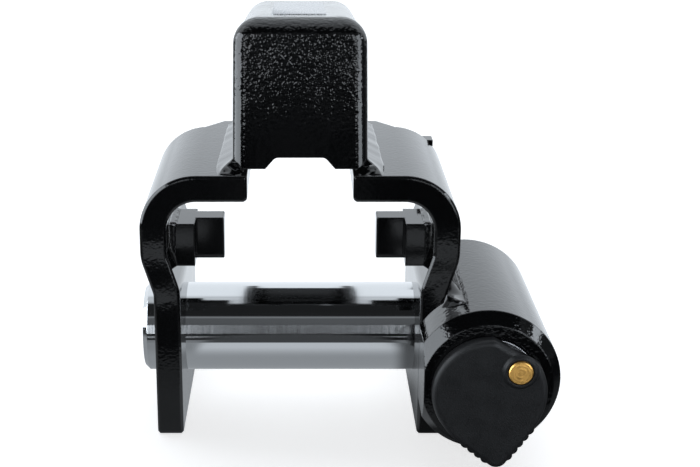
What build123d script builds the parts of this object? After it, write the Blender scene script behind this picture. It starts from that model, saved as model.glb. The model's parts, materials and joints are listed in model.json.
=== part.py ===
"""Trailer coupling lock: a welded saddle with a hood, a locking pin and a keyed lock housing.

Units are millimetres. X runs across the lock, Y runs rearwards, Z is up.
The origin is on the locking pin's axis, midway between the two legs.
"""
from build123d import *
import math
import os

# Plate brackets
plate_thickness = 8.0
leg_gap = 72.8
leg_front_reach = 31.0
leg_depth = 62.5
leg_foot_drop = 24.4
leg_corner_radius = 1.5
saddle_height = 59.3
joggle_drop = 25.9
joggle_height = 11.4
joggle_inner_radius = 6.0
shoulder_width = 96.0
shoulder_inner_radius = 9.0
arm_slot = 31.4
arm_rear_reach = 7.8
arm_flare_inset = 16.7
arm_flare_width = 5.6
arm_end_radius = 1.5
plate_edge_chamfer = 0.7

# Hood over the slot between the arms
hood_foot_width = 40.2
hood_draft = 0.8
hood_setback = 8.3
hood_rise = 44.7
hood_length = 101.5
hood_slope = 5.8
hood_wall = 4.0
hood_corner_radius = 8.0
hood_rim_proud = 0.4
hood_rim_depth = 8.5
hood_rim_fade = 0.35
hood_rim_fade_length = 3.5
hood_edge_radius = 3.8
notch_height = 3.4
notch_top_width = 15.0
notch_foot_width = 21.0
notch_radius = 2.2
hood_weld_nose_leg = 1.6
hood_weld_nose_length = 4.5
hood_weld_front_leg = 4.8
hood_weld_rear_leg = 2.2
hood_weld_front_inset = 0.6
hood_weld_rear_inset = 2.7
hood_weld_bulge = 0.14

# Lugs on the inside of the legs
lug_reach = 7.7
lug_depth = 16.0
lug_setback = 10.0
lug_drop = 31.3
lug_height = 13.5
tongue_reach = 8.7
tongue_depth = 7.0
tongue_setback = 6.5
tongue_chamfer = 1.2
lug_edge_radius = 0.5
lug_weld_reach = 3.0
lug_weld_growth = 1.6
lug_weld_root = 2.0

# Tab welded on the back edge of the right leg
tab_width = 4.7
tab_depth = 6.0
tab_overhang = 0.3
tab_drop = 4.8
tab_foot_drop = 12.0

# Locking pin
pin_diameter = 28.5
pin_running_clearance = 0.08
pin_tail_reach = 5.8
pin_tail_chamfer = 1.4
pin_groove_depth = 3.75
pin_groove_clearance = 0.5
pin_nose_land = 0.8
pin_nose_chamfer = 2.2
pin_end_clearance = 0.4

# Lock housing
housing_diameter = 44.4
housing_axis_reach = 10.8
housing_axis_rise = 0.6
housing_overhang = 19.5
housing_length = 72.2
housing_bevel_length = 5.2
housing_bevel_depth = 2.75
housing_edge_chamfer = 0.8
housing_weld_rise = 9.0
housing_weld_width = 6.5
housing_weld_lean = 3.0
housing_weld_hollow = 0.8
housing_weld_nose_rise = 3.0
housing_weld_nose_width = 4.2
housing_weld_nose_inset = 0.6
housing_weld_nose_length = 9.0

# Lock barrel and what turns in it
barrel_diameter = 29.9
barrel_bore_clearance = 0.05
barrel_mouth_chamfer = 1.0
barrel_recess = 0.3
barrel_length = 28.0
plug_diameter = 16.0
plug_clearance = 0.05
plug_cavity_diameter = 11.0
plug_cavity_clearance = 0.05
plug_floor = 4.0
tail_square = 7.0
anti_drill_diameter = 13.0
anti_drill_thickness = 1.7
keyway_width = 2.6
keyway_height = 7.0
disc_count = 4
disc_thickness = 2.0
spacer_thickness = 0.6
side_bar_width = 1.8
side_bar_length = 16.0
seal_section = 1.5
seal_setback = 5.0
retaining_pin_diameter = 4.0
retaining_pin_setback = 14.0
retaining_pin_grip = 3.5

# Bolt disc with the eccentric dog that turns into the pin's groove
bolt_disc_diameter = 29.2
bolt_disc_thickness = 6.0
bolt_disc_gap = 0.1
dog_diameter = 5.0
dog_eccentricity = 12.0
dog_engagement = 3.05
bolt_screw_diameter = 4.0
bolt_screw_head = 7.0
bolt_screw_head_height = 2.6
bolt_screw_socket = 3.5
bolt_screw_floor = 1.5

# Dust cap and its rivet
cap_radius = 16.9
cap_shift = 0.2
cap_drop = 0.85
cap_thickness = 4.2
cap_gap = 0.2
cap_tongue_angle = -82.4
cap_tongue_corner = 87.0
cap_side_proud = 0.55
cap_side_lead = 16.0
cap_side_radius = 16.0
cap_tip_radius = 3.4
cap_edge_radius = 1.6
cap_flat_angle = 60.0
cap_flat_depth = 1.8
cap_flat_radius = 3.0
cap_rib_count = 5
cap_rib_radius = 1.7
cap_rib_pitch = 2.6
cap_rib_proud = 0.4
cap_rib_setback = 1.0
cap_collar_radius = 5.4
cap_collar_height = 0.9
rivet_angle = 37.8
rivet_distance = 10.95
rivet_head_diameter = 7.1
rivet_head_height = 1.2
rivet_head_chamfer = 0.3
rivet_shank_diameter = 3.8
rivet_depth = 6.0
rivet_clearance = 0.08
rivet_head_clearance = 0.3
washer_diameter = 7.6

# Places that follow from the sizes above
leg_inner_x = leg_gap / 2
leg_outer_x = leg_inner_x + plate_thickness
leg_front = -leg_front_reach
leg_rear = leg_front + leg_depth
joggle_top_height = saddle_height - joggle_drop
joggle_foot_height = joggle_top_height - joggle_height
shoulder_x = shoulder_width / 2
arm_end_x = arm_slot / 2
arm_rear = leg_rear + arm_rear_reach
arm_flare_start = shoulder_x - arm_flare_inset
arm_flare_end = arm_flare_start - arm_flare_width
hood_side_x = hood_foot_width / 2
hood_front = leg_front + hood_setback
lug_front = leg_front + lug_setback
lug_foot_height = saddle_height - lug_drop
pin_radius = pin_diameter / 2
lock_x = leg_outer_x + housing_axis_reach
lock_z = housing_axis_rise
housing_radius = housing_diameter / 2
housing_front = leg_front - housing_overhang
housing_rear = housing_front + housing_length
barrel_radius = barrel_diameter / 2
lock_bore_radius = barrel_radius + barrel_bore_clearance
barrel_front = housing_front + barrel_recess
barrel_rear = barrel_front + barrel_length
plug_radius = plug_diameter / 2
bolt_disc_front = barrel_rear + bolt_disc_gap
bolt_disc_rear = bolt_disc_front + bolt_disc_thickness
dog_radius = dog_diameter / 2
dog_tip = -pin_radius + dog_engagement
lock_bore_floor = dog_tip + pin_end_clearance
groove_start = lock_x + pin_groove_clearance
groove_end = lock_x + dog_eccentricity + dog_radius + pin_groove_clearance
nose_full_end = groove_end + pin_nose_land
nose_tip = nose_full_end + pin_nose_chamfer
cap_back = housing_front - cap_gap
cap_front = cap_back - cap_thickness
rivet_x = lock_x + rivet_distance * math.cos(math.radians(rivet_angle))
rivet_z = lock_z + rivet_distance * math.sin(math.radians(rivet_angle))
cap_x = lock_x + cap_shift
cap_z = lock_z - cap_drop
cap_side_distance = cap_radius + cap_side_proud
cap_flat_distance = cap_radius - cap_flat_depth
far = 4 * leg_depth


def prism_x(sketch, x_from, x_to):
    """A sketch drawn in Y and Z, extruded along X."""
    return extrude(Plane.YZ.offset(x_from) * sketch, amount=x_to - x_from, dir=(1, 0, 0))


def prism_y(sketch, y_from, y_to):
    """A sketch drawn in X and Z, extruded along Y."""
    return extrude(Plane.XZ.offset(-y_from) * sketch, amount=y_to - y_from, dir=(0, 1, 0))


def prism_z(sketch, z_from, z_to):
    """A sketch drawn in X and Y, extruded along Z."""
    return extrude(Plane.XY.offset(z_from) * sketch, amount=z_to - z_from, dir=(0, 0, 1))


def block(x_from, x_to, y_from, y_to, z_from, z_to):
    """A box between two corners."""
    centre = Pos((x_from + x_to) / 2, (y_from + y_to) / 2, (z_from + z_to) / 2)
    return centre * Box(x_to - x_from, y_to - y_from, z_to - z_from)


def round_x(radius, x_from, x_to, end_radius=None):
    """A round bar on the pin's axis; a different end radius makes it a cone."""
    turn = Pos((x_from + x_to) / 2, 0, 0) * Rot(0, 90, 0)
    if end_radius is None:
        return turn * Cylinder(radius, x_to - x_from)
    return turn * Cone(radius, end_radius, x_to - x_from)


def round_y(radius, y_from, y_to, x=lock_x, z=lock_z, end_radius=None):
    """A round bar along Y, on the lock's axis unless told otherwise."""
    turn = Pos(x, (y_from + y_to) / 2, z) * Rot(-90, 0, 0)
    if end_radius is None:
        return turn * Cylinder(radius, y_to - y_from)
    return turn * Cone(radius, end_radius, y_to - y_from)


def closed_face(*points):
    """A flat face with straight edges through the points."""
    return make_face(Polyline(*points, close=True))


def mirrored(solid):
    """The same piece on the left of the lock."""
    return mirror(solid, about=Plane.YZ)


def side_bracket():
    """Right bracket: an arm, a bent shoulder, a joggle and a leg with the pin's hole."""
    outer_path = FilletPolyline(
        (arm_end_x, saddle_height),
        (shoulder_x, saddle_height),
        (shoulder_x, joggle_top_height),
        (leg_outer_x, joggle_foot_height),
        (leg_outer_x, -leg_foot_drop),
        radius=[
            shoulder_inner_radius + plate_thickness,
            joggle_inner_radius + plate_thickness,
            joggle_inner_radius,
        ],
    )
    section = make_face(offset(outer_path, amount=plate_thickness, side=Side.RIGHT, closed=True))
    bracket = prism_y(section, leg_front, arm_rear)
    behind_arm = closed_face(
        (arm_flare_end, arm_rear),
        (arm_flare_start, leg_rear),
        (far, leg_rear),
        (far, far),
        (arm_flare_end, far),
    )
    bracket -= prism_z(behind_arm, -far, far)
    foot_corners = bracket.edges().filter_by(Axis.X).group_by(Axis.Z)[0]
    bracket = fillet(foot_corners, leg_corner_radius)
    slot_edge = bracket.edges().filter_by(Axis.Y).group_by(Axis.X)[0].sort_by(Axis.Z)[0]
    bracket = fillet(slot_edge, arm_end_radius)
    front_outline = bracket.faces().sort_by(Axis.Y)[0].edges()
    bracket = chamfer(front_outline, plate_edge_chamfer)
    bracket -= round_x(pin_radius + pin_running_clearance, 0, far)
    return bracket


def hood_section(rise, growth, corner_radius):
    """The hood's drafted outline in its own tilted frame, grown sideways, reaching below its foot."""
    depth_below = hood_length * math.tan(math.radians(hood_slope)) + plate_thickness
    lean = math.tan(math.radians(hood_draft))
    top = hood_side_x + growth - rise * lean
    foot = hood_side_x + growth + depth_below * lean
    outline = closed_face((-foot, -depth_below), (-top, rise), (top, rise), (foot, -depth_below))
    return fillet(outline.vertices().group_by(Axis.Y)[-1], corner_radius)


def hood():
    """Pressed cover with a proud rounded rim in front, closed in front, open below and behind."""
    tilt = Pos(0, hood_front, saddle_height) * Rot(-hood_slope, 0, 0)
    rim_section = hood_section(hood_rise + hood_rim_proud, hood_rim_proud, hood_corner_radius)
    rim = prism_y(rim_section, 0, hood_rim_depth)
    front_edges = rim.faces().sort_by(Axis.Y)[0].edges().sort_by(Axis.Z)[1:]
    rim = fillet(front_edges, hood_edge_radius)
    rear_edges = rim.faces().sort_by(Axis.Y)[-1].edges().sort_by(Axis.Z)[1:]
    rim = chamfer(rear_edges, length=hood_rim_fade, length2=hood_rim_fade_length)
    body = prism_y(hood_section(hood_rise, 0, hood_corner_radius), hood_rim_depth / 2, hood_length)
    shell = rim + body
    hollow = hood_section(hood_rise - hood_wall, -hood_wall, hood_corner_radius - hood_wall)
    shell -= prism_y(hollow, hood_wall, far)
    shell = tilt * shell
    shell -= block(-far, far, -far, far, -far, saddle_height)
    notch = closed_face(
        (-notch_foot_width / 2, saddle_height),
        (-notch_top_width / 2, saddle_height + notch_height),
        (notch_top_width / 2, saddle_height + notch_height),
        (notch_foot_width / 2, saddle_height),
    )
    notch = fillet(notch.vertices().group_by(Axis.Y)[-1], notch_radius)
    shell -= prism_y(notch, hood_front - hood_wall, hood_front + 2 * hood_wall)
    return shell


def weld_section(leg):
    """Fillet bead's section in the corner between the hood's right side and the arm."""
    root = (hood_side_x - hood_wall / 2, saddle_height)
    toe = (hood_side_x + leg, saddle_height)
    top = (hood_side_x, saddle_height + leg)
    inner_top = (hood_side_x - hood_wall / 2, saddle_height + leg)
    middle = leg / 2 + hood_weld_bulge * leg
    crown = (hood_side_x + middle, saddle_height + middle)
    return closed_face(root, toe, crown, top, inner_top)


def ruled_bead(sections, stations):
    """A bead with flat facets through sections drawn in X and Z, each at its place along Y."""
    faces = [(Plane.XZ.offset(-y) * section).face() for section, y in zip(sections, stations)]
    return loft(faces, ruled=True)


def hood_weld(hood_solid):
    """Fillet bead along the hood's right foot: a low nose in front, then thick, then thin behind."""
    legs = (hood_weld_nose_leg, hood_weld_front_leg, hood_weld_rear_leg)
    bead_front = hood_front + hood_weld_front_inset
    stations = (bead_front, bead_front + hood_weld_nose_length, arm_rear - hood_weld_rear_inset)
    bead = ruled_bead([weld_section(leg) for leg in legs], stations) - hood_solid
    return bead.solids().sort_by(Axis.X)[-1]


def lug_section(growth):
    """The lug's outline against the leg, grown on every side."""
    middle = Pos(lug_front + lug_depth / 2, lug_foot_height + lug_height / 2)
    return middle * Rectangle(lug_depth + 2 * growth, lug_height + 2 * growth)


def lug(bracket):
    """Stepped block on the inside of the right leg: a base and a narrower tongue."""
    wall_x = shoulder_x - plate_thickness
    base_end = wall_x - lug_reach
    base = prism_x(lug_section(0), base_end, shoulder_x - plate_thickness / 2) - bracket
    base = base.solids().sort_by(Axis.X)[0]
    tongue_front = lug_front + tongue_setback
    tongue = block(base_end - tongue_reach, base_end, tongue_front, tongue_front + tongue_depth,
                   lug_foot_height, lug_foot_height + lug_height)
    foot_edges = tongue.edges().filter_by(Axis.X).group_by(Axis.Z)[0]
    tongue = chamfer(foot_edges, tongue_chamfer)
    end_edges = tongue.faces().sort_by(Axis.X)[0].edges()
    tongue = fillet(end_edges, lug_edge_radius)
    return base + tongue


def lug_weld(bracket, lug_solid):
    """Tapered bead round the lug where it meets the leg."""
    wall_x = shoulder_x - plate_thickness
    toe = Plane.YZ.offset(wall_x - lug_weld_reach) * lug_section(0)
    root = Plane.YZ.offset(wall_x + lug_weld_root) * lug_section(lug_weld_growth)
    bead = loft([toe.face(), root.face()], ruled=True) - bracket - lug_solid
    return bead.solids().sort_by(SortBy.VOLUME)[-1]


def leg_tab():
    """Upright bar on the back edge of the right leg, rising behind the joggle and the shoulder."""
    outer = leg_outer_x + tab_overhang
    foot = joggle_foot_height - tab_foot_drop
    return block(outer - tab_width, outer, leg_rear, leg_rear + tab_depth, foot, saddle_height - tab_drop)


def lock_bore():
    """Bore for the barrel, made through the housing and the leg's edge after they are welded."""
    return round_y(lock_bore_radius, housing_front, lock_bore_floor)


def lock_housing():
    """Bevelled round body, notched round the leg and bored for the barrel and the pin's nose."""
    bevel_rear = housing_front + housing_bevel_length
    body = round_y(housing_radius, bevel_rear, housing_rear)
    face_radius = housing_radius - housing_bevel_depth
    body += round_y(face_radius, housing_front, bevel_rear, end_radius=housing_radius)
    rear_edge = body.faces().sort_by(Axis.Y)[-1].edges()
    body = chamfer(rear_edge, housing_edge_chamfer)
    body -= block(-far, leg_inner_x, -far, far, -far, far)
    body -= block(-far, leg_outer_x, leg_front, far, -far, far)
    body -= lock_bore()
    mouth_radius = lock_bore_radius + barrel_mouth_chamfer
    mouth_rear = housing_front + barrel_mouth_chamfer
    body -= round_y(mouth_radius, housing_front, mouth_rear, end_radius=lock_bore_radius)
    pin_bore_radius = pin_radius + pin_running_clearance
    body -= round_x(pin_bore_radius, 0, nose_full_end)
    cone_end = nose_tip + pin_end_clearance
    cone_end_radius = pin_bore_radius - (cone_end - nose_full_end)
    body -= round_x(pin_bore_radius, nose_full_end, cone_end, end_radius=cone_end_radius)
    body -= retaining_pin_shape(retaining_pin_diameter / 2, -housing_diameter)
    return body


def housing_weld_section(rise, width):
    """Bead's hollow section in the notch between the leg's outer face and the round housing."""
    notch_z = lock_z + math.sqrt(housing_radius**2 - housing_axis_reach**2)
    share = rise / housing_weld_rise
    top = (leg_outer_x + housing_weld_lean * share, notch_z + rise)
    toe_x = leg_outer_x + width
    toe = (toe_x, lock_z + math.sqrt(housing_radius**2 - (lock_x - toe_x) ** 2))
    sag = housing_weld_hollow * share
    hollow = ((top[0] + toe[0]) / 2 - sag, (top[1] + toe[1]) / 2 - sag)
    root = (leg_outer_x - plate_thickness / 2, notch_z - plate_thickness)
    return closed_face(top, hollow, toe, root)


def housing_weld(bracket, housing):
    """Bead in the notch between the right leg and the housing, with a low nose in front."""
    nose = housing_weld_section(housing_weld_nose_rise, housing_weld_nose_width)
    full = housing_weld_section(housing_weld_rise, housing_weld_width)
    nose_front = leg_front + housing_weld_nose_inset
    stations = (nose_front, nose_front + housing_weld_nose_length, housing_rear - housing_edge_chamfer)
    bead = ruled_bead([nose, full, full], stations) - bracket - housing
    return bead.solids().sort_by(SortBy.VOLUME)[-1]


def locking_pin():
    """Round bar with a bevelled tail, and a groove and a nose for the lock."""
    tail = -(leg_outer_x + pin_tail_reach)
    tail_full = tail + pin_tail_chamfer
    bar = round_x(pin_radius - pin_tail_chamfer, tail, tail_full, end_radius=pin_radius)
    bar += round_x(pin_radius, tail_full, groove_start)
    bar += round_x(pin_radius - pin_groove_depth, groove_start, groove_end)
    bar += round_x(pin_radius, groove_end, nose_full_end)
    bar += round_x(pin_radius, nose_full_end, nose_tip, end_radius=pin_radius - pin_nose_chamfer)
    return bar


def retaining_pin_shape(radius, foot):
    """Upright bar below the lock's axis that reaches into the barrel's wall."""
    middle_y = barrel_front + retaining_pin_setback
    top = lock_z - (barrel_radius - retaining_pin_grip)
    return Pos(lock_x, middle_y, (foot + top) / 2) * Cylinder(radius, top - foot)


def retaining_pin():
    """Pin driven in from below, ending flush inside the housing's round wall."""
    flush = lock_z - math.sqrt(housing_radius**2 - (retaining_pin_diameter / 2) ** 2)
    return retaining_pin_shape(retaining_pin_diameter / 2, flush)


def keyway(y_from, y_to):
    """Slot for the key, on the lock's axis."""
    return prism_y(Pos(lock_x, lock_z) * Rectangle(keyway_width, keyway_height), y_from, y_to)


def lock_barrel():
    """Fixed barrel with the plug's bore, a groove for the seal and holes for its pin and rivet."""
    body = round_y(barrel_radius, barrel_front, barrel_rear)
    body -= round_y(plug_radius + plug_clearance, barrel_front, barrel_rear)
    seal_y = barrel_front + seal_setback
    groove = round_y(barrel_radius, seal_y - seal_section / 2, seal_y + seal_section / 2)
    groove -= round_y(barrel_radius - seal_section, seal_y - seal_section, seal_y + seal_section)
    body -= groove
    body -= retaining_pin_shape(retaining_pin_diameter / 2, -barrel_diameter)
    body -= round_y(rivet_shank_diameter / 2, barrel_front, barrel_front + rivet_depth, rivet_x, rivet_z)
    return body


def barrel_seal():
    """Square-section seal ring in the barrel's groove."""
    seal_front = barrel_front + seal_setback - seal_section / 2
    seal_rear = seal_front + seal_section
    ring = round_y(barrel_radius, seal_front, seal_rear)
    return ring - round_y(barrel_radius - seal_section, seal_front, seal_rear)


def plug_cavity_rear():
    """Depth to which the plug is hollow for its discs."""
    return barrel_rear - plug_floor


def side_bar_middle():
    """Middle of the side bar along the lock's axis."""
    return (barrel_front + anti_drill_thickness + plug_cavity_rear()) / 2


def side_bar_shape(clearance):
    """Rectangular bar let into the plug's left side."""
    half_width = side_bar_width / 2 + clearance
    middle = side_bar_middle()
    half_length = side_bar_length / 2 + clearance
    outer = lock_x - plug_radius + clearance
    return block(outer - clearance, outer + side_bar_width, middle - half_length, middle + half_length,
                 lock_z - half_width, lock_z + half_width)


def key_plug():
    """Turning plug, hollow for the discs, with a square tail for the bolt disc."""
    cavity_radius = plug_cavity_diameter / 2
    body = round_y(plug_radius, barrel_front, barrel_rear)
    body -= round_y(anti_drill_diameter / 2, barrel_front, barrel_front + anti_drill_thickness)
    body -= round_y(cavity_radius, barrel_front, plug_cavity_rear())
    body -= side_bar_shape(plug_cavity_clearance)
    tail_end = bolt_disc_rear - bolt_screw_head_height - bolt_disc_gap
    body += prism_y(Pos(lock_x, lock_z) * Rectangle(tail_square, tail_square), barrel_rear, tail_end)
    body -= round_y(bolt_screw_diameter / 2, plug_cavity_rear() + bolt_screw_floor, tail_end)
    return body


def anti_drill_disc():
    """Hardened disc over the front of the plug, with the keyhole."""
    disc_rear = barrel_front + anti_drill_thickness
    disc = round_y(anti_drill_diameter / 2 - plug_cavity_clearance, barrel_front, disc_rear)
    return disc - keyway(barrel_front, disc_rear)


def disc_stack():
    """Detainer discs with spacers between them, from the anti-drill disc to the cavity's floor."""
    radius = plug_cavity_diameter / 2 - plug_cavity_clearance
    start = barrel_front + anti_drill_thickness
    room = plug_cavity_rear() - start
    pitch = room / disc_count
    thickness = min(disc_thickness, pitch - spacer_thickness)
    discs = []
    spacers = []
    for index in range(disc_count):
        front = start + index * pitch
        middle = front + thickness
        rear = front + pitch
        discs.append(round_y(radius, front, middle) - keyway(front, middle))
        spacers.append(round_y(radius, middle, rear) - keyway(middle, rear))
    return discs, spacers


def bolt_disc():
    """Disc on the plug's tail with an eccentric dog; at rest the dog is above the pin's path."""
    disc = round_y(bolt_disc_diameter / 2, bolt_disc_front, bolt_disc_rear)
    square = tail_square + 2 * plug_cavity_clearance
    disc -= prism_y(Pos(lock_x, lock_z) * Rectangle(square, square), bolt_disc_front, bolt_disc_rear)
    head_room = bolt_screw_head / 2 + plug_cavity_clearance
    disc -= round_y(head_room, bolt_disc_rear - bolt_screw_head_height - bolt_disc_gap, bolt_disc_rear)
    disc += round_y(dog_radius, bolt_disc_rear, dog_tip, lock_x, lock_z + dog_eccentricity)
    return disc


def bolt_screw():
    """Screw that holds the bolt disc on the plug's tail."""
    seat = bolt_disc_rear - bolt_screw_head_height - bolt_disc_gap
    screw = round_y(bolt_screw_head / 2, seat, seat + bolt_screw_head_height)
    screw += round_y(bolt_screw_diameter / 2, plug_cavity_rear() + bolt_screw_floor, seat)
    socket = Pos(lock_x, lock_z) * RegularPolygon(bolt_screw_socket / 2, 6)
    return screw - prism_y(socket, seat + bolt_screw_head_height / 2, seat + bolt_screw_head_height)


def polar(radius, degrees):
    """A point at a distance and an angle from the cap's centre."""
    return radius * math.cos(math.radians(degrees)), radius * math.sin(math.radians(degrees))


def crossing(first_angle, first_distance, second_angle, second_distance):
    """Where two lines meet, each given by its normal's angle and its distance from the centre."""
    first = math.radians(first_angle)
    second = math.radians(second_angle)
    turn = math.sin(second - first)
    x = (first_distance * math.sin(second) - second_distance * math.sin(first)) / turn
    y = (second_distance * math.cos(first) - first_distance * math.cos(second)) / turn
    return x, y


def cap_side_angle(side):
    """Direction in which one of the tongue's two straight sides faces."""
    return cap_tongue_angle + side * (90 - cap_tongue_corner / 2)


def cap_tip():
    """The tongue's sharp corner, before it is rounded."""
    return crossing(cap_side_angle(-1), cap_side_distance, cap_side_angle(1), cap_side_distance)


def cap_outline():
    """Round cap drawn out to a rounded thumb tongue, with a flat beside the rivet."""
    left_lead = cap_side_angle(-1) - cap_side_lead
    right_lead = cap_side_angle(1) + cap_side_lead
    left_start = polar(cap_radius, left_lead)
    right_start = polar(cap_radius, right_lead)
    tongue = FilletPolyline(
        left_start,
        crossing(left_lead, cap_radius, cap_side_angle(-1), cap_side_distance),
        cap_tip(),
        crossing(right_lead, cap_radius, cap_side_angle(1), cap_side_distance),
        right_start,
        radius=[cap_side_radius, cap_tip_radius, cap_side_radius],
    )
    crown = ThreePointArc(right_start, polar(cap_radius, cap_tongue_angle + 180), left_start)
    flat = Rot(0, 0, cap_flat_angle) * Pos(cap_flat_distance + cap_radius, 0)
    outline = make_face(tongue + crown) - flat * Rectangle(2 * cap_radius, 2 * cap_radius)
    towards_flat = Axis((0, 0, 0), (*polar(1, cap_flat_angle), 0))
    return fillet(outline.vertices().sort_by(towards_flat)[-2:], cap_flat_radius)


def cap_ribs():
    """Grip ribs on the two straight sides of the tongue, spread over what its roundings leave."""
    ribs = []
    tip = Vector(*cap_tip())
    half_corner = math.radians(cap_tongue_corner / 2)
    side_length = math.sqrt(tip.length**2 - cap_side_distance**2)
    rounded_tip = cap_tip_radius / math.tan(half_corner)
    middle = (side_length + rounded_tip) / 2
    first = middle - cap_rib_pitch * (cap_rib_count - 1) / 2
    for side in (-1, 1):
        outward = Vector(*polar(1, cap_side_angle(side)))
        along_side = Vector(*polar(1, cap_side_angle(side) + side * 90))
        for index in range(cap_rib_count):
            place = tip + along_side * (first + index * cap_rib_pitch)
            place -= outward * (cap_rib_radius - cap_rib_proud)
            rib_front = cap_front + cap_rib_setback
            ribs.append(round_y(cap_rib_radius, rib_front, cap_back, cap_x + place.X, cap_z + place.Y))
    return ribs


def dust_cap():
    """Rubber cap that swivels on its rivet: rounded front edge, grip ribs and a collar."""
    cap = prism_y(Pos(cap_x, cap_z) * cap_outline(), cap_front, cap_back)
    front_edges = cap.faces().sort_by(Axis.Y)[0].edges()
    cap = fillet(front_edges, cap_edge_radius)
    for rib in cap_ribs():
        cap += rib
    cap += round_y(cap_collar_radius - cap_collar_height, cap_front - cap_collar_height, cap_front,
                   rivet_x, rivet_z, end_radius=cap_collar_radius)
    head_room = rivet_head_diameter / 2 + rivet_head_clearance
    cap -= round_y(head_room, cap_front - cap_collar_height, cap_front, rivet_x, rivet_z)
    cap -= round_y(rivet_shank_diameter / 2 + rivet_clearance, cap_front, cap_back, rivet_x, rivet_z)
    return cap


def cap_rivet():
    """Brass rivet in the barrel's face; its head holds the cap."""
    head_back = cap_front - rivet_clearance
    head = round_y(rivet_head_diameter / 2, head_back - rivet_head_height, head_back, rivet_x, rivet_z)
    head = chamfer(head.faces().sort_by(Axis.Y)[0].edges(), rivet_head_chamfer)
    return head + round_y(rivet_shank_diameter / 2, head_back, barrel_front + rivet_depth, rivet_x, rivet_z)


def cap_washer():
    """Thin washer on the rivet between the barrel's face and the cap."""
    washer = round_y(washer_diameter / 2, cap_back + rivet_clearance, barrel_front, rivet_x, rivet_z)
    return washer - round_y(rivet_shank_diameter / 2, cap_back, barrel_front, rivet_x, rivet_z)


plain_bracket = side_bracket()
right_bracket = plain_bracket - lock_bore()
right_lug = lug(plain_bracket)
right_lug_weld = lug_weld(plain_bracket, right_lug)
hood_cover = hood()
right_hood_weld = hood_weld(hood_cover)
housing_body = lock_housing()
detainer_discs, disc_spacers = disc_stack()

nodes = {
    "right_side_bracket": right_bracket,
    "left_side_bracket": mirrored(plain_bracket),
    "hood": hood_cover,
    "right_hood_weld": right_hood_weld,
    "left_hood_weld": mirrored(right_hood_weld),
    "right_lug": right_lug,
    "left_lug": mirrored(right_lug),
    "right_lug_weld": right_lug_weld,
    "left_lug_weld": mirrored(right_lug_weld),
    "shoulder_tab": leg_tab(),
    "lock_housing": housing_body,
    "housing_weld": housing_weld(right_bracket, housing_body),
    "locking_pin": locking_pin(),
    "lock_barrel": lock_barrel(),
    "barrel_seal": barrel_seal(),
    "barrel_retaining_pin": retaining_pin(),
    "key_plug": key_plug(),
    "anti_drill_disc": anti_drill_disc(),
    "detainer_discs": Compound(children=detainer_discs),
    "disc_spacers": Compound(children=disc_spacers),
    "side_bar": side_bar_shape(0),
    "bolt_disc": bolt_disc(),
    "bolt_screw": bolt_screw(),
    "dust_cap": dust_cap(),
    "cap_rivet": cap_rivet(),
    "cap_washer": cap_washer(),
}

os.makedirs("parts", exist_ok=True)
for node_name, solid in nodes.items():
    export_step(solid, f"parts/{node_name}.step")
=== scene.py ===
import json
import math

import bpy
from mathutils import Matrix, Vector, noise


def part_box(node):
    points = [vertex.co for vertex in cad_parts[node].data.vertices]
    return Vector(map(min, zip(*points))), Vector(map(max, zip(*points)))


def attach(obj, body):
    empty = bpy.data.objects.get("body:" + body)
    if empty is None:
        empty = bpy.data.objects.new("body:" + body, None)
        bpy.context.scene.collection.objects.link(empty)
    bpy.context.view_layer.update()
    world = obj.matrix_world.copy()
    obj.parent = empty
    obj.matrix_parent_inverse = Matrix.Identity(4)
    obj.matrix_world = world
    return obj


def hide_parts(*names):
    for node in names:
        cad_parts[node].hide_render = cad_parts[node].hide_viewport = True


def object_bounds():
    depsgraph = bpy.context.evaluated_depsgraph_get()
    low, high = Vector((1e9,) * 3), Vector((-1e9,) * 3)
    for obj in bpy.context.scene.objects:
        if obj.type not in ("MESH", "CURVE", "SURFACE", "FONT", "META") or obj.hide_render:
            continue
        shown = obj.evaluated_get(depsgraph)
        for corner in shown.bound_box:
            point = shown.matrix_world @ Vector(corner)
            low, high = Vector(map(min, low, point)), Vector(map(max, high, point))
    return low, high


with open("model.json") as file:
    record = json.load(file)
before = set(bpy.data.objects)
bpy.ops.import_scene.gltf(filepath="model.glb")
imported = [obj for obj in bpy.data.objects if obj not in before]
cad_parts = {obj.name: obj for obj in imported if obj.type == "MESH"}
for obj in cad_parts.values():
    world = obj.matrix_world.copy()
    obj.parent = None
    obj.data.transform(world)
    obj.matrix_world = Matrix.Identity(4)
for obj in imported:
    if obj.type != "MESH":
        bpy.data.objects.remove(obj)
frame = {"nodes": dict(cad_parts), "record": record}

cad_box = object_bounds()
nodes = frame["nodes"]

# Side brackets: two 8 mm steel plates, cut out, bent over at the shoulder and joggled to a leg.
# They are powder coated gloss black together with all that is welded to them, so the coat is made
# here: a hard glossy film with fine orange peel, a slow waviness, and corners that the film rounds.
coat_black = (0.0035, 0.0037, 0.0042, 1)
coat_roughness = (0.05, 0.09)
coat_corner = 0.0006
corner_samples = 6
peel_fine_scale = 940
peel_slow_scale = 130
peel_gloss_scale = 60
peel_stretch = (0.85, 1.0, 1.15)
cloud_span = (0.35, 0.65)


def new_group(name, inputs, outputs):
    """A shader node group with named number sockets, and its two end nodes."""
    group = bpy.data.node_groups.new(name, "ShaderNodeTree")
    for socket in inputs:
        group.interface.new_socket(name=socket, in_out="INPUT", socket_type="NodeSocketFloat")
    for socket in outputs:
        group.interface.new_socket(name=socket, in_out="OUTPUT", socket_type="NodeSocketFloat")
    return group, group.nodes.new("NodeGroupInput"), group.nodes.new("NodeGroupOutput")


def plug_in(tree, socket, term):
    """Sets a socket to a number, or links it to another socket."""
    if isinstance(term, (int, float)):
        socket.default_value = term
    else:
        tree.links.new(term, socket)


def calc(tree, operation, *terms):
    """The result of a Math node; each term is a number or a socket."""
    node = tree.nodes.new("ShaderNodeMath")
    node.operation = operation
    for socket, term in zip(node.inputs, terms):
        plug_in(tree, socket, term)
    return node.outputs[0]


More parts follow.
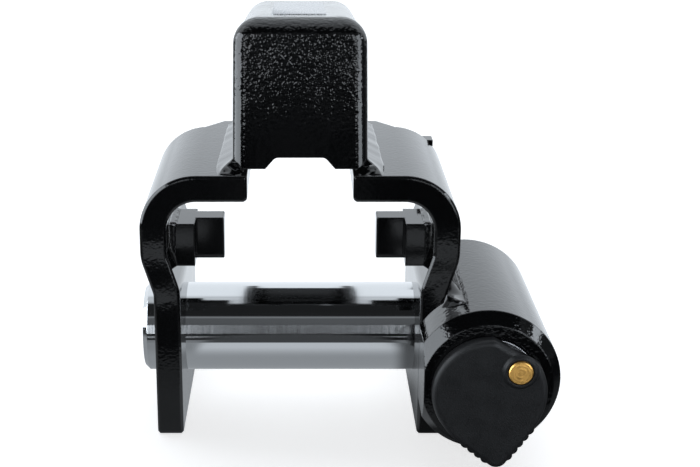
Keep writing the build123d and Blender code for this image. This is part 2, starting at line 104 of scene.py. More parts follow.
def times(tree, first, second):
    """The product of two numbers or sockets."""
    return calc(tree, "MULTIPLY", first, second)


def plus(tree, first, second):
    """The sum of two numbers or sockets."""
    return calc(tree, "ADD", first, second)


def ramp(tree, value, low, high, low_result, high_result):
    """A value carried smoothly from one result to another between two limits."""
    node = tree.nodes.new("ShaderNodeMapRange")
    node.interpolation_type = "SMOOTHSTEP"
    for socket, term in zip(node.inputs, (value, low, high, low_result, high_result)):
        plug_in(tree, socket, term)
    return node.outputs[0]


def speckle(tree, place, scale, detail=1.0):
    """Noise between 0 and 1 at a place."""
    node = tree.nodes.new("ShaderNodeTexNoise")
    tree.links.new(place, node.inputs["Vector"])
    node.inputs["Scale"].default_value = scale
    node.inputs["Detail"].default_value = detail
    return node.outputs[0]


def object_place(tree):
    """Places on the piece itself, in metres."""
    return tree.nodes.new("ShaderNodeTexCoord").outputs["Object"]


def stretched(tree, place, scale):
    """Places with each axis scaled by a factor of its own."""
    node = tree.nodes.new("ShaderNodeMapping")
    tree.links.new(place, node.inputs["Vector"])
    node.inputs["Scale"].default_value = scale
    return node.outputs["Vector"]


def part_of(tree, vector, axis):
    """One part of a vector."""
    split = tree.nodes.new("ShaderNodeSeparateXYZ")
    tree.links.new(vector, split.inputs[0])
    return split.outputs[axis]


def add_group(tree, group, **values):
    """A group placed in a material with its own values; underscores stand for spaces."""
    node = tree.nodes.new("ShaderNodeGroup")
    node.node_tree = group
    for name, value in values.items():
        plug_in(tree, node.inputs[name.replace("_", " ").capitalize()], value)
    return node


peel_group, peel_in, peel_out = new_group("orange_peel", ["Fine height", "Slow height"],
                                          ["Height", "Roughness"])
peel_place = object_place(peel_group)
peel_grain = speckle(peel_group, stretched(peel_group, peel_place, peel_stretch), peel_fine_scale)
peel_wave = speckle(peel_group, peel_place, peel_slow_scale)
peel_fine = times(peel_group, peel_grain, peel_in.outputs["Fine height"])
peel_slow = times(peel_group, peel_wave, peel_in.outputs["Slow height"])
plug_in(peel_group, peel_out.inputs["Height"], plus(peel_group, peel_fine, peel_slow))
peel_cloud = speckle(peel_group, peel_place, peel_gloss_scale, 2.0)
peel_gloss = ramp(peel_group, peel_cloud, *cloud_span, *coat_roughness)
plug_in(peel_group, peel_out.inputs["Roughness"], peel_gloss)


def new_material(name):
    """A material, its node tree and its Principled shader."""
    material = bpy.data.materials.new(name)
    material.use_nodes = True
    return material, material.node_tree, material.node_tree.nodes["Principled BSDF"]


def add_bump(tree, shader, height, corner_radius):
    """Relief in metres on the shader's normal, with corners rounded to a radius."""
    corner = tree.nodes.new("ShaderNodeBevel")
    corner.samples = corner_samples
    corner.inputs["Radius"].default_value = corner_radius
    relief = tree.nodes.new("ShaderNodeBump")
    relief.inputs["Distance"].default_value = 1.0
    tree.links.new(height, relief.inputs["Height"])
    tree.links.new(corner.outputs["Normal"], relief.inputs["Normal"])
    tree.links.new(relief.outputs["Normal"], shader.inputs["Normal"])


def powder_coat(name, fine_height, slow_height, changes=()):
    """Gloss black coat with its own orange peel and waviness.

    Each change is an axis, two places along it and the depth that the fine peel has from there on.
    """
    material, tree, shader = new_material(name)
    shader.inputs["Base Color"].default_value = coat_black
    for axis, low, high, depth in changes:
        fine_height = ramp(tree, part_of(tree, object_place(tree), axis), low, high, fine_height, depth)
    peel = add_group(tree, peel_group, fine_height=fine_height, slow_height=slow_height)
    tree.links.new(peel.outputs["Roughness"], shader.inputs["Roughness"])
    add_bump(tree, shader, peel.outputs["Height"], coat_corner)
    return material


def dress(material, *names):
    """Gives a material to nodes of the frame."""
    for name in names:
        nodes[name].data.materials.clear()
        nodes[name].data.materials.append(material)


plate_peel = (0.00006, 0.00003)
plate_peel_changes = [("Z", 0.004, 0.009, 0.000012), ("Z", 0.050, 0.056, 0.000040)]
plate_coat = powder_coat("plate_coat", *plate_peel, plate_peel_changes)
dress(plate_coat, "left_side_bracket", "right_side_bracket")
# Mirrors leave the plates out. On the real lock they don't, but the photo's pin shows the pale backdrop
# where the plates would be, and this gives that look.
for bracket in ("left_side_bracket", "right_side_bracket"):
    nodes[bracket].visible_glossy = False

# Shoulder tab: a short steel bar that is welded upright on the back edge of the right leg.
# It is coated in one go with the leg, so it has the same film.
dress(plate_coat, "shoulder_tab")

# Lugs: stepped steel blocks welded inside the legs, with a fillet bead round each, coated with them.
# The beads are coarse hand-laid welds, so their faces are lumpy under the film.
bead_grain = 0.0004
bead_flow = 12
bead_flow_factor = 0.5
bead_lump = 0.00012
bead_lump_size = 0.0018
bead_lump_middle = 0.6


def roughen(name):
    """Makes a faceted bead lumpy."""
    lumps = bpy.data.textures.new(name + "_lumps", "CLOUDS")
    lumps.noise_scale = bead_lump_size
    remesh = nodes[name].modifiers.new("grain", "REMESH")
    remesh.mode = "VOXEL"
    remesh.voxel_size = bead_grain
    remesh.use_smooth_shade = True
    flow = nodes[name].modifiers.new("flow", "SMOOTH")
    flow.factor = bead_flow_factor
    flow.iterations = bead_flow
    displace = nodes[name].modifiers.new("lumps", "DISPLACE")
    displace.texture = lumps
    displace.texture_coords = "LOCAL"
    displace.strength = bead_lump
    displace.mid_level = bead_lump_middle


bead_peel = (0.000012, 0.00002)
lug_peel = (0.000003, 0.000006)
bead_coat = powder_coat("bead_coat", *bead_peel)
lug_coat = powder_coat("lug_coat", *lug_peel)
dress(lug_coat, "left_lug", "right_lug")
dress(bead_coat, "left_lug_weld", "right_lug_weld")
roughen("left_lug_weld")
roughen("right_lug_weld")

# Hood: a pressed steel cover over the slot between the arms, rounded in front and open behind.
# Its coat has more orange peel towards the top. On the upper edge of its front the shaded normal leans
# up, because the photo's reflections show a rounder edge there than its outline does.
hood_peel = (0.00003, 0.00008)
hood_peel_changes = [("Z", 0.064, 0.089, 0.000165)]
hood_edge_height = (0.0985, 0.1005)
hood_edge_depth = (-0.0150, -0.0140)
hood_edge_lean = 0.7
hood_coat = powder_coat("hood_coat", *hood_peel, hood_peel_changes)
dress(hood_coat, "hood")


def plain_normal(tree):
    """The bump node of a finish, and the normal that its relief starts from."""
    relief = next(node for node in tree.nodes if node.type == "BUMP")
    return relief, relief.inputs["Normal"].links[0].from_socket


def lean_normal(tree, axis, amount):
    """Leans the shaded normal along an axis, by an amount that may change over the piece."""
    relief, plain = plain_normal(tree)
    shift = tree.nodes.new("ShaderNodeCombineXYZ")
    tree.links.new(amount, shift.inputs[axis])
    leaned = tree.nodes.new("ShaderNodeVectorMath")
    leaned.operation = "ADD"
    tree.links.new(plain, leaned.inputs[0])
    tree.links.new(shift.outputs[0], leaned.inputs[1])
    unit = tree.nodes.new("ShaderNodeVectorMath")
    unit.operation = "NORMALIZE"
    tree.links.new(leaned.outputs[0], unit.inputs[0])
    tree.links.new(unit.outputs[0], relief.inputs["Normal"])


hood_tree = hood_coat.node_tree
hood_place = object_place(hood_tree)
hood_upper = ramp(hood_tree, part_of(hood_tree, hood_place, "Z"), *hood_edge_height, 0.0, hood_edge_lean)
hood_ahead = ramp(hood_tree, part_of(hood_tree, hood_place, "Y"), *hood_edge_depth, 1.0, 0.0)
lean_normal(hood_tree, "Z", times(hood_tree, hood_upper, hood_ahead))

# Hood welds: smooth fillet beads along both sides of the hood, run out in front over the arm's corner,
# where they end in a rough lump. Each is one closed skin through sections along its path, and mirrors
# leave it out together with the plates.
hood_low, hood_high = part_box("hood")
arm_low, arm_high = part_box("left_side_bracket")
arm_top = arm_high.z
hood_corner = 0.0038
hood_weld_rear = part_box("left_hood_weld")[1].y
hood_weld_front_gap = 0.0007
hood_weld_front = arm_low.y + hood_weld_front_gap
hood_weld_legs = (0.0044, 0.0054)
hood_weld_slope = 0.55
hood_weld_inset = 0.0004
hood_weld_sink = 0.0005
hood_weld_wobble = 0.0003
hood_weld_wave = 0.007
hood_weld_end = 0.02
hood_weld_nose_fall = 0.9
hood_weld_toe_shift = 0.0013
hood_weld_crest_inset = 0.0003
hood_weld_crest_shift = 0.0039
hood_weld_heel_shift = 0.0034
hood_weld_heel_rate = 2.5
hood_weld_lump = 0.0009
hood_weld_lump_rate = 2
bead_step = 0.0004
bead_points = 10
bead_bulge = 0.2
bead_hollow_power = 4
bead_fade = 0.003
bead_foot = 0.0001


def smooth_step(value):
    """A value from 0 to 1, eased at both ends."""
    value = min(max(value, 0.0), 1.0)
    return value * value * (3 - 2 * value)


def skin(name, rings):
    """A closed smooth mesh through rings of equally many points."""
    size = len(rings[0])
    points = [point for ring in rings for point in ring]
    faces = []
    for row in range(len(rings) - 1):
        for column in range(size):
            here = row * size + column
            after = row * size + (column + 1) % size
            faces.append((here, after, after + size, here + size))
    faces.append(tuple(range(size - 1, -1, -1)))
    faces.append(tuple(range((len(rings) - 1) * size, len(rings) * size)))
    mesh = bpy.data.meshes.new(name)
    mesh.from_pydata(points, [], faces)
    mesh.shade_smooth()
    mesh.update()
    piece = bpy.data.objects.new(name, mesh)
    bpy.context.scene.collection.objects.link(piece)
    return piece


def bead_ring(toe, crest, heel, hollow, lump):
    """Ring of points from a bead's toe up to its crest and over to its heel.

    With a hollow of 0 the first face is flat; towards 1 it lies low and rises at the crest. The face
    behind the crest bulges, with lumps.
    """
    ring = []
    for index in range(bead_points + 1):
        share = index / bead_points
        point = toe.lerp(crest, share)
        point.z -= hollow * (crest.z - toe.z) * (share - share**bead_hollow_power)
        ring.append(point)
    for index in range(1, bead_points + 1):
        share = index / bead_points
        point = crest.lerp(heel, share)
        swell = bead_bulge * (crest.z - heel.z) + lump * noise.noise(point / bead_lump_size)
        point.z += swell * math.sin(math.pi * share)
        ring.append(point)
    return ring


def hood_weld(side):
    """Bead along one side of the hood and on over the arm's front corner; side is -1 on the left."""
    half = hood_high.x - hood_weld_inset
    corner = hood_low.y + hood_corner
    thin, thick = hood_weld_legs
    up = Vector((0, 0, 1))
    rings = []
    for index in range(int((hood_weld_rear - hood_weld_front) / bead_step) + 1):
        y = hood_weld_rear - index * bead_step
        back = max(0.0, (y - corner) / (hood_weld_rear - corner))
        ahead = max(0.0, (corner - y) / (corner - hood_weld_front))
        wobble = hood_weld_wobble * noise.noise(Vector((y / hood_weld_wave, side, 0)))
        leg = thick + (thin - thick) * back + wobble
        leg *= math.sqrt(min(1.0, (hood_weld_rear - y) / bead_fade + hood_weld_end))
        rise = hood_weld_slope * leg * (1 - hood_weld_nose_fall * ahead**2)
        toe_x = half + leg - hood_weld_toe_shift * ahead**2
        crest_x = half - hood_weld_crest_inset + hood_weld_crest_shift * smooth_step(ahead)
        heel_x = half - hood_weld_sink - hood_weld_heel_shift * min(1.0, hood_weld_heel_rate * ahead)
        foot = Vector((0, y, arm_top))
        toe = foot + Vector((side * toe_x, 0, 0)) - up * bead_foot
        crest = foot + Vector((side * crest_x, 0, 0)) + up * rise
        heel = foot + Vector((side * heel_x, 0, 0)) - up * hood_weld_sink
        lump = hood_weld_lump * smooth_step(hood_weld_lump_rate * ahead)
        rings.append(bead_ring(toe, crest, heel, 0.0, lump))
    name = "left" if side < 0 else "right"
    piece = skin(name + "_hood_bead", rings)
    piece.data.materials.append(bead_coat)
    piece.visible_glossy = False
    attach(piece, "saddle")
    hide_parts(name + "_hood_weld")


hood_weld(-1)
hood_weld(1)

# Label plate: a thin bare plate with round corners, of satin pale metal.
# It is stuck flat on the hood's sloping top.
label_width = 0.0172
label_front = 0.002
label_rear = 0.071
label_shift = -0.0005
label_thickness = 0.00018
label_seat = 0.0001
label_edge = 0.0001
label_corner = 0.0015
label_corner_steps = 5
label_metal = (0.45, 0.46, 0.48, 1)
label_metallic = 0.6
label_grain_scale = 1800
label_roughness = (0.22, 0.32)
grain_span = (0.3, 0.7)


def height_on(name, x, y):
    """Height of a node's upper face at a place."""
    return nodes[name].ray_cast(Vector((x, y, 1)), Vector((0, 0, -1)))[1].z


def label_outline(inset):
    """Round-cornered outline of the label in X and Y, set in from its edge."""
    points = []
    half = label_width / 2 - inset
    radius = label_corner - inset / 2
    corners = ((half, label_rear - inset), (-half, label_rear - inset),
               (-half, label_front + inset), (half, label_front + inset))
    for quarter, (x, y) in enumerate(corners):
        centre_x = label_shift + (x - math.copysign(radius, x))
        centre_y = y - radius if quarter < 2 else y + radius
        for step in range(label_corner_steps + 1):
            turn = math.radians(90 * (quarter + step / label_corner_steps))
            points.append((centre_x + radius * math.cos(turn), centre_y + radius * math.sin(turn)))
    return points


label_z = height_on("hood", label_shift, label_front)
label_fall = (height_on("hood", label_shift, label_rear) - label_z) / (label_rear - label_front)


def on_hood(point, rise):
    """A point above the hood's top."""
    return Vector((point[0], point[1], label_z + label_fall * (point[1] - label_front) + rise))


label_rings = []
for inset, rise in ((0, -label_seat), (0, label_thickness - label_edge), (label_edge, label_thickness)):
    label_rings.append([on_hood(point, rise) for point in label_outline(inset)])
label = skin("label_plate", label_rings)
label_satin, label_tree, label_shader = new_material("label_satin")
label_shader.inputs["Base Color"].default_value = label_metal
label_shader.inputs["Metallic"].default_value = label_metallic
label_grain = speckle(label_tree, object_place(label_tree), label_grain_scale, 2.0)
label_gloss = ramp(label_tree, label_grain, *grain_span, *label_roughness)
label_tree.links.new(label_gloss, label_shader.inputs["Roughness"])
label.data.materials.append(label_satin)
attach(label, "saddle")

# Lock housing: a turned steel body with a bevelled front, bored for the lock and notched round the
# right leg. The bevel's shaded normal leans forward, because the photo's reflections show a steeper
# bevel than its outline does.
housing_peel = (0.00009, 0.00003)
housing_peel_changes = [("Y", -0.0505, -0.0445, 0.000050)]
housing_coat = powder_coat("housing_coat", *housing_peel, housing_peel_changes)
dress(housing_coat, "lock_housing")
bevel_facing = (-0.56, -0.38)
bevel_facing_soft = 0.04
bevel_lean = -0.416


def pulse(tree, value, low, high, soft):
    """1 between two limits and 0 outside them, with soft edges."""
    rise = ramp(tree, value, low - soft, low, 0, 1)
    return times(tree, rise, ramp(tree, value, high, high + soft, 1, 0))


housing_tree = housing_coat.node_tree
housing_facing = part_of(housing_tree, plain_normal(housing_tree)[1], "Y")
housing_bevel = pulse(housing_tree, housing_facing, *bevel_facing, bevel_facing_soft)
lean_normal(housing_tree, "Y", times(housing_tree, housing_bevel, bevel_lean))

# Housing weld: a broad hollow bead in the corner between the leg's outer face and the housing's top,
# laid by hand, with a jagged lip on the housing. In front of the leg it runs out in a dull dark lump.
housing_low, housing_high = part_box("lock_housing")
housing_radius = (housing_high.z - housing_low.z) / 2
housing_z = (housing_high.z + housing_low.z) / 2
housing_x = housing_high.x - housing_radius
leg_outer_inset = 0.0108
leg_outer = housing_x - leg_outer_inset
leg_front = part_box("right_side_bracket")[0].y
joggle_foot = 0.022
joggle_shift = 0.0036
joggle_rise = 0.0114
housing_weld_rises = (0.0021, 0.0088)
housing_weld_rise_length = 0.009
housing_weld_width = 0.0055
housing_weld_nose = 0.0066
housing_weld_nose_fall = 0.7
housing_weld_front = leg_front - housing_weld_nose
housing_weld_rear_gap = 0.0012
housing_weld_rear = housing_high.y - housing_weld_rear_gap
housing_weld_end = 0.05
housing_weld_lip = 0.0010
housing_weld_lip_fall = 0.6
housing_weld_lip_edge = 0.0003
housing_weld_groove = 0.0005
housing_weld_toe_inset = 0.0009
housing_weld_crest_inset = 0.0012
housing_weld_heel_inset = 0.0006
housing_weld_sink = 0.0008
housing_weld_nose_bow = 0.0070
housing_weld_nose_free = 0.01
housing_weld_hollow = 0.78
housing_weld_lump = 0.0006
housing_weld_lump_rate = 4
jag_fine_depth = 0.0005
jag_fine_length = 0.0011
jag_slow_depth = 0.0003
jag_slow_length = 0.005


def leg_face(height):
    """Distance across of the right leg's outer face at a height."""
    return leg_outer + max(0.0, height - joggle_foot) * (joggle_shift / joggle_rise)


def housing_top(x):
    """Height of the housing's round top at a distance across."""
    return housing_z + math.sqrt(housing_radius**2 - (x - housing_x) ** 2)


def on_housing(x, y, rise):
    """A point above the housing's round top."""
    return Vector((x, y, housing_top(x) + rise))


def jagged(y):
    """How far the bead's lip strays sideways at a place along the housing."""
    fine = jag_fine_depth * noise.noise(Vector((y / jag_fine_length, 0, 7)))
    return fine + jag_slow_depth * noise.noise(Vector((y / jag_slow_length, 3, 0)))


def housing_ring(y):
    """Ring of points for the hollow bead at a place along the housing."""
    back = smooth_step((y - leg_front) / housing_weld_rise_length)
    ahead = min(1.0, max(0.0, (leg_front - y) / housing_weld_nose))
    close = math.sqrt(min(1.0, (housing_weld_rear - y) / bead_fade + housing_weld_end))
    low_rise, full_rise = housing_weld_rises
    rise = (low_rise + (full_rise - low_rise) * back) * close * (1 - housing_weld_nose_fall * ahead)
    lip = housing_weld_lip * (1 - housing_weld_lip_fall * ahead)
    toe_x = leg_outer + housing_weld_width * close
    lip_x = toe_x + jagged(y)
    edge = on_housing(lip_x + housing_weld_lip_edge, y, -bead_foot)
    ridge = on_housing(lip_x, y, lip)
    groove = on_housing(lip_x - housing_weld_groove, y, bead_foot)
    toe = on_housing(toe_x - housing_weld_toe_inset, y, 2 * bead_foot)
    crest_x = leg_outer + (toe_x - housing_weld_crest_inset - leg_outer) * ahead
    crest_z = housing_top(crest_x) + rise
    crest_x = max(crest_x, leg_face(crest_z) + bead_foot - housing_weld_nose_free * ahead)
    crest = Vector((crest_x, y, crest_z))
    heel_x = leg_outer - housing_weld_sink - housing_weld_nose_bow * ahead * (1 - ahead)
    heel_x += (toe_x - leg_outer - housing_weld_heel_inset) * ahead**3
    heel = on_housing(heel_x, y, -housing_weld_heel_inset)
    lump = housing_weld_lump * smooth_step(housing_weld_lump_rate * ahead)
    return [edge, ridge, groove] + bead_ring(toe, crest, heel, housing_weld_hollow * back, lump)


housing_rings = []
for index in range(int((housing_weld_rear - housing_weld_front) / bead_step) + 1):
    housing_rings.append(housing_ring(housing_weld_rear - index * bead_step))
housing_bead = skin("housing_bead", housing_rings)
# The lump lies on the left of a line that runs forwards and to the right, and mirrors little.
lump_slant = (0.81, 0.59)
lump_border = (0.0162, 0.0172)
lump_specular = 0.08
coat_specular = 0.5
lump_coat = powder_coat("lump_coat", *bead_peel)
lump_tree = lump_coat.node_tree
lump_place = object_place(lump_tree)
lump_across = times(lump_tree, part_of(lump_tree, lump_place, "X"), lump_slant[0])
lump_along = times(lump_tree, part_of(lump_tree, lump_place, "Y"), lump_slant[1])
lump_side = plus(lump_tree, lump_across, lump_along)
lump_mirror = ramp(lump_tree, lump_side, *lump_border, lump_specular, coat_specular)
lump_tree.links.new(lump_mirror, lump_tree.nodes["Principled BSDF"].inputs["Specular IOR Level"])
housing_bead.data.materials.append(lump_coat)
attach(housing_bead, "saddle")
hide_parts("housing_weld")

# Locking pin: a centreless ground and polished steel bar that slides through bores in both legs.
# Grinding leaves fine lines round it, which blur what it mirrors along its length.
pin_colour = (0.58, 0.59, 0.60, 1)
pin_roughness = (0.06, 0.08)
pin_blur = 1.0
pin_blur_turn = 0.25
pin_line_stretch = (1.0, 0.04, 0.04)
pin_line_scale = 2600
pin_line_depth = 0.0000015
pin_corner = 0.0003
pin_metal, pin_tree, pin_shader = new_material("ground_steel")
pin_shader.inputs["Metallic"].default_value = 1.0
pin_shader.inputs["Base Color"].default_value = pin_colour
pin_shader.inputs["Anisotropic"].default_value = pin_blur
pin_shader.inputs["Anisotropic Rotation"].default_value = pin_blur_turn
pin_round = pin_tree.nodes.new("ShaderNodeTangent")
pin_round.direction_type = "RADIAL"
pin_round.axis = "X"
pin_tree.links.new(pin_round.outputs["Tangent"], pin_shader.inputs["Tangent"])
pin_place = stretched(pin_tree, object_place(pin_tree), pin_line_stretch)
pin_lines = speckle(pin_tree, pin_place, pin_line_scale, 3.0)
pin_gloss = ramp(pin_tree, pin_lines, *grain_span, *pin_roughness)
pin_tree.links.new(pin_gloss, pin_shader.inputs["Roughness"])
add_bump(pin_tree, pin_shader, times(pin_tree, pin_lines, pin_line_depth), pin_corner)
dress(pin_metal, "locking_pin")

# Lock works: the barrel that is pinned in the housing, with the plug, discs, side bar and bolt disc
# that turn in it. They are turned steel and brass, with the tool's rings on their faces.
works_grey = (0.52, 0.52, 0.54)
works_yellow = (0.74, 0.53, 0.22)
works_steel_pitch = 0.00007
works_brass_pitch = 0.00006
works_ring_depth = 0.000002
turned_roughness = (0.20, 0.30)
turned_corner = 0.0002
turned_grain_scale = 900
turned_grain_share = 0.1
rings_group, rings_in, rings_out = new_group("turned_rings", ["Centre x", "Centre z", "Pitch", "Depth"],
                                             ["Height", "Roughness"])
rings_place = object_place(rings_group)


def rings_square(axis, centre):
    """Square of the distance from the rings' centre along one axis."""
    away = calc(rings_group, "SUBTRACT", part_of(rings_group, rings_place, axis), rings_in.outputs[centre])
    return times(rings_group, away, away)


rings_far = calc(rings_group, "SQRT", plus(rings_group, rings_square("X", "Centre x"),
                                           rings_square("Z", "Centre z")))
rings_wave = calc(rings_group, "SINE", calc(rings_group, "DIVIDE", rings_far, rings_in.outputs["Pitch"]))
rings_grain = speckle(rings_group, rings_place, turned_grain_scale, 3.0)
rings_relief = plus(rings_group, rings_wave, times(rings_group, rings_grain, turned_grain_share))
rings_height = times(rings_group, rings_relief, rings_in.outputs["Depth"])
plug_in(rings_group, rings_out.inputs["Height"], rings_height)
rings_gloss = ramp(rings_group, rings_grain, *grain_span, *turned_roughness)
plug_in(rings_group, rings_out.inputs["Roughness"], rings_gloss)


def turned_metal(name, colour, centre, pitch, depth, satin=0.0):
    """Turned bright metal with rings round an axis along Y, and more satin if asked for."""
    material, tree, shader = new_material(name)
    shader.inputs["Base Color"].default_value = (*colour, 1)
    shader.inputs["Metallic"].default_value = 1.0
    turned = add_group(tree, rings_group, centre_x=centre[0], centre_z=centre[2], pitch=pitch, depth=depth)
    tree.links.new(plus(tree, turned.outputs["Roughness"], satin), shader.inputs["Roughness"])
    add_bump(tree, shader, turned.outputs["Height"], turned_corner)
    return material


def joint_place(name):
    """The place of a joint of the record."""
    return next(joint["pos_m"] for joint in frame["record"]["behaviour"]["joints"] if joint["name"] == name)


lock_axis = joint_place("key_turn")
works_steel = turned_metal("works_steel", works_grey, lock_axis, works_steel_pitch, works_ring_depth)
works_brass = turned_metal("works_brass", works_yellow, lock_axis, works_brass_pitch, works_ring_depth)
dress(works_steel, "lock_barrel", "barrel_retaining_pin", "anti_drill_disc", "disc_spacers", "side_bar",
      "bolt_disc", "bolt_screw", "cap_washer")
dress(works_brass, "key_plug", "detainer_discs")

# Dust cap: moulded black rubber with a fine matt grain, and the seal ring of the barrel, of the same
# rubber. The cap swivels on its rivet.
cap_black = (0.0125, 0.013, 0.0145, 1)
cap_roughness = (0.42, 0.55)
cap_specular = 0.3
cap_grain_scale = 2400
cap_grain_depth = 0.00006
cap_cloud_scale = 160
cap_corner = 0.0005
cap_rubber, cap_tree, cap_shader = new_material("cap_rubber")
cap_shader.inputs["Base Color"].default_value = cap_black
cap_shader.inputs["Specular IOR Level"].default_value = cap_specular
cap_place = object_place(cap_tree)
cap_grain = speckle(cap_tree, cap_place, cap_grain_scale, 3.0)
cap_cloud = speckle(cap_tree, cap_place, cap_cloud_scale, 2.0)
cap_tree.links.new(ramp(cap_tree, cap_cloud, *grain_span, *cap_roughness), cap_shader.inputs["Roughness"])
add_bump(cap_tree, cap_shader, times(cap_tree, cap_grain, cap_grain_depth), cap_corner)
dress(cap_rubber, "dust_cap", "barrel_seal")

# Cap rivet: turned brass with a faced, ringed head; it is driven into the barrel and holds the cap.
# The head's shaded normal leans up a little, and more so towards its top, as on a slightly domed face.
rivet_colour = (1.0, 0.57, 0.16)
rivet_ring_pitch = 0.00017
rivet_ring_depth = 0.000010
rivet_satin = 0.13
rivet_reach = 0.0035
rivet_leans = (0.045, 0.095)
cap_axis = joint_place("dust_cap_swivel")
rivet_brass = turned_metal("rivet_brass", rivet_colour, cap_axis, rivet_ring_pitch, rivet_ring_depth,
                           satin=rivet_satin)
rivet_tree = rivet_brass.node_tree
rivet_height = part_of(rivet_tree, object_place(rivet_tree), "Z")
rivet_span = (cap_axis[2] - rivet_reach, cap_axis[2] + rivet_reach)
rivet_lean = ramp(rivet_tree, rivet_height, *rivet_span, *rivet_leans)
lean_normal(rivet_tree, "Z", rivet_lean)
dress(rivet_brass, "cap_rivet")

# Studio table: a white top that looks pale to the camera and keeps the object's shadow. Mirrors show it
# with a light of its own: pale in the middle and behind, dark in front and far out at the sides, with
# a dim strip and two narrow pale cards beside the legs. That light is dimmed under the object and right of
# the right leg in front, as painted shadow.
scene = bpy.context.scene
scene.view_settings.view_transform = "Standard"
studio_tint = (0.94, 1.0, 1.06, 1)
floor_white = (0.82, 0.82, 0.83, 1)
floor_height = cad_box[0][2]
floor_reach = 4.0
floor_roughness = 0.9
floor_camera_glow = 0.72
legs_edge = (0.033, 0.037)
front_lights = (0.78, 0.34)
under_edge = (-0.045, -0.018)
# Mirrored light under the object, dimmed there as a painted shadow.
painted_shadow_under = 0.42
behind_edge = (0.02, 0.08)
behind_light = 0.63
table_front_edge = (-0.070, -0.064)
table_front_share = 0.10
table_side_edge = (0.12, 0.18)
table_side_share = 0.12
table_spread = 0.6
right_leg_edge = (0.030, 0.036)
# Right of the right leg and in front, the mirrored light is cut to a share, as a painted shadow of the
# housing.
right_front_edge = (0.0, 0.03)
right_painted_shadow_share = 0.3
side_strip = (-0.090, -0.070)
side_strip_soft = 0.006
side_strip_light = 0.25
far_card = (-0.220, -0.197)
near_card = (-0.171, -0.157)
near_card_slant = 0.2
card_soft = 0.003
card_edge = (0.040, 0.044)
card_strength = 0.65
floor_sides = ((-1, -1), (1, -1), (1, 1), (-1, 1))
mesh = bpy.data.meshes.new("floor")
mesh.from_pydata([(x * floor_reach, y * floor_reach, floor_height) for x, y in floor_sides],
                 [], [(0, 1, 2, 3)])
floor = bpy.data.objects.new("floor", mesh)
scene.collection.objects.link(floor)
floor_paint, floor_tree, floor_shader = new_material("floor_white")
floor_shader.inputs["Base Color"].default_value = floor_white
floor_shader.inputs["Roughness"].default_value = floor_roughness
floor_shader.inputs["Specular IOR Level"].default_value = 0.0
floor_shader.inputs["Emission Color"].default_value = (1, 1, 1, 1)
floor_path = floor_tree.nodes.new("ShaderNodeLightPath")
floor_glow = times(floor_tree, floor_path.outputs["Is Camera Ray"], floor_camera_glow)
floor_tree.links.new(floor_glow, floor_shader.inputs["Emission Strength"])
floor_place = object_place(floor_tree)
floor_x = part_of(floor_tree, floor_place, "X")
floor_y = part_of(floor_tree, floor_place, "Y")
floor_aside = calc(floor_tree, "ABSOLUTE", floor_x)


def dim(light, place, low, high, low_share, high_share):
    """Light on the table, times a share that changes smoothly between two places."""
    return times(floor_tree, light, ramp(floor_tree, place, low, high, low_share, high_share))


front_light = ramp(floor_tree, floor_aside, *legs_edge, *front_lights)
near_light = ramp(floor_tree, floor_y, *under_edge, front_light, painted_shadow_under)
table_light = plus(floor_tree, near_light, ramp(floor_tree, floor_y, *behind_edge, 0.0, behind_light))
table_light = dim(table_light, floor_y, *table_front_edge, table_front_share, 1.0)
table_behind = calc(floor_tree, "MAXIMUM", floor_y, 0.0)
table_reach = calc(floor_tree, "SUBTRACT", floor_aside, times(floor_tree, table_behind, table_spread))
table_light = dim(table_light, table_reach, *table_side_edge, 1.0, table_side_share)
# Painted shadow of the housing in the table's mirrored light.
right_painted_shadow = ramp(floor_tree, floor_y, *right_front_edge, right_painted_shadow_share, 1.0)
table_light = dim(table_light, floor_x, *right_leg_edge, 1.0, right_painted_shadow)
side_light = pulse(floor_tree, floor_y, *side_strip, side_strip_soft)
side_light = dim(side_light, floor_aside, *legs_edge, 0, side_strip_light)
card_slant = plus(floor_tree, floor_y, times(floor_tree, floor_x, near_card_slant))
card_light = plus(floor_tree, pulse(floor_tree, floor_y, *far_card, card_soft),
                  pulse(floor_tree, card_slant, *near_card, card_soft))
card_light = dim(card_light, floor_aside, *card_edge, 0, card_strength)
floor_light = plus(floor_tree, table_light, plus(floor_tree, side_light, card_light))
floor_mirror = floor_tree.nodes.new("ShaderNodeEmission")
floor_mirror.inputs["Color"].default_value = studio_tint
floor_tree.links.new(floor_light, floor_mirror.inputs["Strength"])
floor_mix = floor_tree.nodes.new("ShaderNodeMixShader")
floor_tree.links.new(floor_path.outputs["Is Glossy Ray"], floor_mix.inputs[0])
floor_tree.links.new(floor_shader.outputs[0], floor_mix.inputs[1])
floor_tree.links.new(floor_mirror.outputs[0], floor_mix.inputs[2])
floor_tree.links.new(floor_mix.outputs[0], floor_tree.nodes["Material Output"].inputs["Surface"])
floor.data.materials.append(floor_paint)

# Studio room: a white backdrop behind and above, and a dim room on the camera's side with a pale
# strip and an opening overhead, and a fill light on each side. The camera sees plain white.
backdrop_light = 1.25
backdrop_edge = (-0.02, 0.34)
wall_span = (0.0, 0.62)
wall_lights = (0.095, 0.13)
ceiling_edge = (0.69, 0.73)
ceiling_share = 0.15
strip_span = (0.65, 0.69)
strip_soft = 0.01
strip_light = 0.13
opening_edge = (0.975, 0.995)
opening_light = 0.75
fill_across = (0.13, 0.30)
fill_upward = (-0.05, 0.36)
fill_soft = 0.02
fill_strength = 3.0
world = bpy.data.worlds.new("studio")
scene.world = world
world.use_nodes = True
sky = world.node_tree
sky_view = sky.nodes.new("ShaderNodeTexCoord").outputs["Generated"]
sky_up = part_of(sky, sky_view, "Z")
sky_aside = calc(sky, "ABSOLUTE", part_of(sky, sky_view, "X"))
wall_light = ramp(sky, sky_up, *wall_span, *wall_lights)
room_light = times(sky, wall_light, ramp(sky, sky_up, *ceiling_edge, 1.0, ceiling_share))
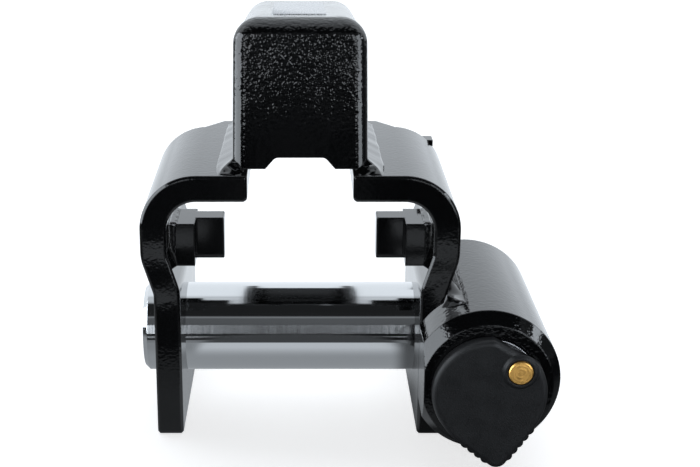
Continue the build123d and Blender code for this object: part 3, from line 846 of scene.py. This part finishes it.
room_light = plus(sky, room_light, times(sky, pulse(sky, sky_up, *strip_span, strip_soft), strip_light))
room_light = plus(sky, room_light, ramp(sky, sky_up, *opening_edge, 0.0, opening_light))
fill_light = times(sky, pulse(sky, sky_aside, *fill_across, fill_soft),
                   pulse(sky, sky_up, *fill_upward, fill_soft))
room_light = plus(sky, room_light, times(sky, fill_light, fill_strength))
sky_back = ramp(sky, part_of(sky, sky_view, "Y"), *backdrop_edge, 0.0, 1.0)
sky_front = calc(sky, "SUBTRACT", 1.0, sky_back)
sky_light = plus(sky, times(sky, sky_back, backdrop_light), times(sky, sky_front, room_light))
sky_camera = sky.nodes.new("ShaderNodeLightPath").outputs["Is Camera Ray"]
# Sockets 6 and 7 of the mix are its two colours, and 2 is the mixed colour.
sky_tint = sky.nodes.new("ShaderNodeMix")
sky_tint.data_type = "RGBA"
sky_tint.inputs[6].default_value = studio_tint
sky_tint.inputs[7].default_value = (1, 1, 1, 1)
sky.links.new(sky_camera, sky_tint.inputs[0])
sky.links.new(sky_tint.outputs[2], sky.nodes["Background"].inputs["Color"])
sky_unseen = times(sky, sky_light, calc(sky, "SUBTRACT", 1.0, sky_camera))
sky.links.new(plus(sky, sky_unseen, sky_camera), sky.nodes["Background"].inputs["Strength"])

# Studio lamps: a small soft box on the right, and a large soft panel at each side, which only mirrors
# show, as the bright bands along the hood's and the housing's sides. They are a little cool.
lamp_colour = (0.93, 1.0, 1.07)


def soft_box(name, place, aim, width, height, power):
    """A soft box that faces a point."""
    lamp = bpy.data.lights.new(name, "AREA")
    lamp.shape = "RECTANGLE"
    lamp.size = width
    lamp.size_y = height
    lamp.energy = power
    lamp.color = lamp_colour
    box = bpy.data.objects.new(name, lamp)
    box.location = place
    box.rotation_euler = (Vector(aim) - Vector(place)).to_track_quat("-Z", "Y").to_euler()
    box.visible_camera = False
    scene.collection.objects.link(box)
    return box


def side_panel(name, place, width, height, power):
    """A soft box that faces the middle plane and lights only what mirrors it."""
    panel = soft_box(name, place, (0, place[1], place[2]), width, height, power)
    panel.visible_diffuse = False


soft_box("right_soft_box", (0.70, -0.17, 0.335), (0.07, -0.05, 0.02), 0.14, 0.14, 0.4)
side_panel("left_panel", (-0.45, -0.20, 0.226), 0.70, 0.5, 5.3)
side_panel("right_panel", (0.45, -0.57, 0.226), 0.62, 0.5, 3.9)

# Camera: the photo's view, from in front and a little above.
# The focal length and the middle of the view are given in pixels of the photo's width.
photo_width = 700
focal_pixels = 1424.264
middle_pixel = 300.2
camera_pitch = 17.986
camera_place = (0, -0.434765, 0.172794)
camera_data = bpy.data.cameras.new("camera")
camera = bpy.data.objects.new("camera", camera_data)
scene.collection.objects.link(camera)
camera_data.sensor_width = 36.0
camera_data.lens = focal_pixels / photo_width * camera_data.sensor_width
camera_data.shift_x = (photo_width / 2 - middle_pixel) / photo_width
camera_data.clip_start = 0.01
camera.location = camera_place
camera.rotation_euler = (math.radians(90 - camera_pitch), 0, 0)
scene.camera = camera
